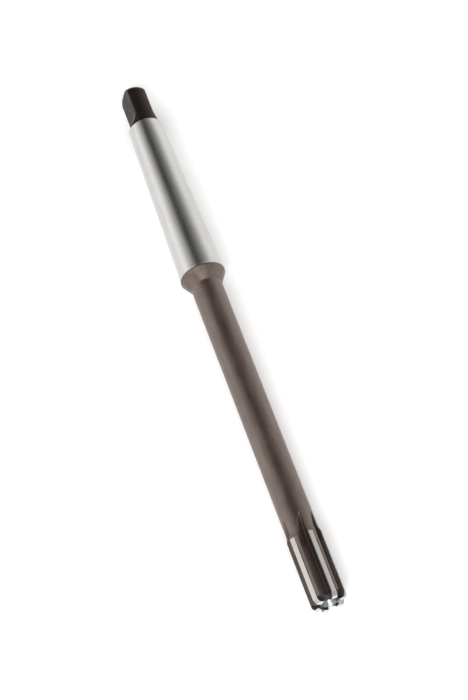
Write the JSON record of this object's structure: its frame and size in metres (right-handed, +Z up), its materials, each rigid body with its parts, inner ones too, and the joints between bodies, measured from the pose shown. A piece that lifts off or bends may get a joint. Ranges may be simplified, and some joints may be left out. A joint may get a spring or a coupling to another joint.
{
  "type": "machine reamer",
  "caption": "Straight-fluted machine reamer with brazed carbide tips, slim round neck and Morse taper shank with a driving tang.",
  "frame": {"origin": "under the middle of the tool's bounding box, on the surface that it lies on", "axes": "+X along the tool towards the cutting end, +Z up; the axis dips about one degree towards the cutting end because the tool lies on its collar and its head"},
  "size_m": [0.168, 0.0124, 0.0124],
  "materials": {
    "tool_steel": "taper shank and lands ground bright, neck and flutes temper brown, tang dark oxide",
    "carbide": "ground cemented carbide"
  },
  "bodies": {
    "root": {"reamer_body": "tool_steel", "carbide_tip_1": "carbide", "carbide_tip_2": "carbide", "carbide_tip_3": "carbide", "carbide_tip_4": "carbide", "carbide_tip_5": "carbide", "carbide_tip_6": "carbide"}
  },
  "joints": []
}
